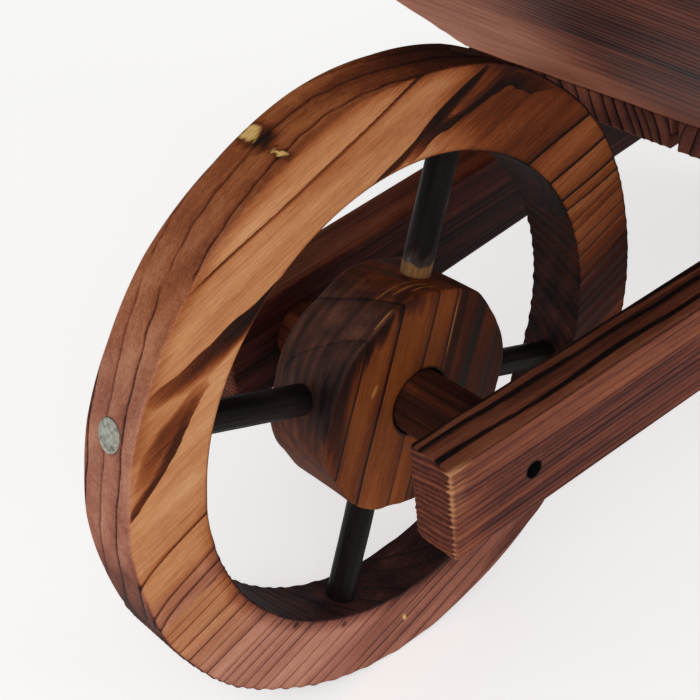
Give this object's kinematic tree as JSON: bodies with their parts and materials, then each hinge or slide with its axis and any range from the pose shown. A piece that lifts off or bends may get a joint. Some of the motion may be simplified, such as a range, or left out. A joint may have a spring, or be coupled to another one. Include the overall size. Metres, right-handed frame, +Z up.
{
  "type": "wheelbarrow planter",
  "caption": "Garden planter shaped like a wheelbarrow: a splayed plant tray on two rails with shaped handles and legs, and a spoked ring wheel that turns on a fixed axle.",
  "frame": {"origin": "on the ground, under the middle of the barrow's overall box", "axes": "+X towards the handles, so the wheel is at -X, +Y to the right rail of someone facing the handles from the wheel, +Z up"},
  "size_m": [1.0563, 0.3982, 0.4282],
  "materials": {
    "rim_wood": "charred and brushed, lightly oiled",
    "hub_wood": "charred and brushed, lightly oiled",
    "spoke_wood": "charred black",
    "axle_wood": "charred and brushed",
    "rail_wood": "charred and brushed",
    "tray_wood": "charred and brushed",
    "cleat_wood": "charred and brushed",
    "leg_wood": "charred and brushed",
    "steel": "zinc plated, dulled"
  },
  "bodies": {
    "frame": {"axle": "axle_wood", "rail_left": "rail_wood", "rail_right": "rail_wood", "leg_left": "leg_wood", "leg_right": "leg_wood", "leg_crossbar": "leg_wood", "floor_board_left": "tray_wood", "floor_board_right": "tray_wood", "front_wall": "tray_wood", "rear_wall": "tray_wood", "side_wall_left": "tray_wood", "side_wall_right": "tray_wood", "corner_cleat_front_left": "cleat_wood", "corner_cleat_front_right": "cleat_wood", "corner_cleat_rear_left": "cleat_wood", "corner_cleat_rear_right": "cleat_wood", "axle_screws": "steel", "crossbar_screws": "steel", "floor_screws": "steel", "leg_bolts": "steel", "leg_nuts": "steel"},
    "wheel": {"wheel_rim": "rim_wood", "wheel_hub": "hub_wood", "spoke_upper": "spoke_wood", "spoke_rear": "spoke_wood", "spoke_lower": "spoke_wood", "spoke_front": "spoke_wood"}
  },
  "joints": [
    {"name": "wheel_spin", "type": "hinge", "parent": "frame", "child": "wheel", "pos_m": [-0.37789, 0, 0.15], "axis": [0, -1, 0], "continuous": true}
  ]
}
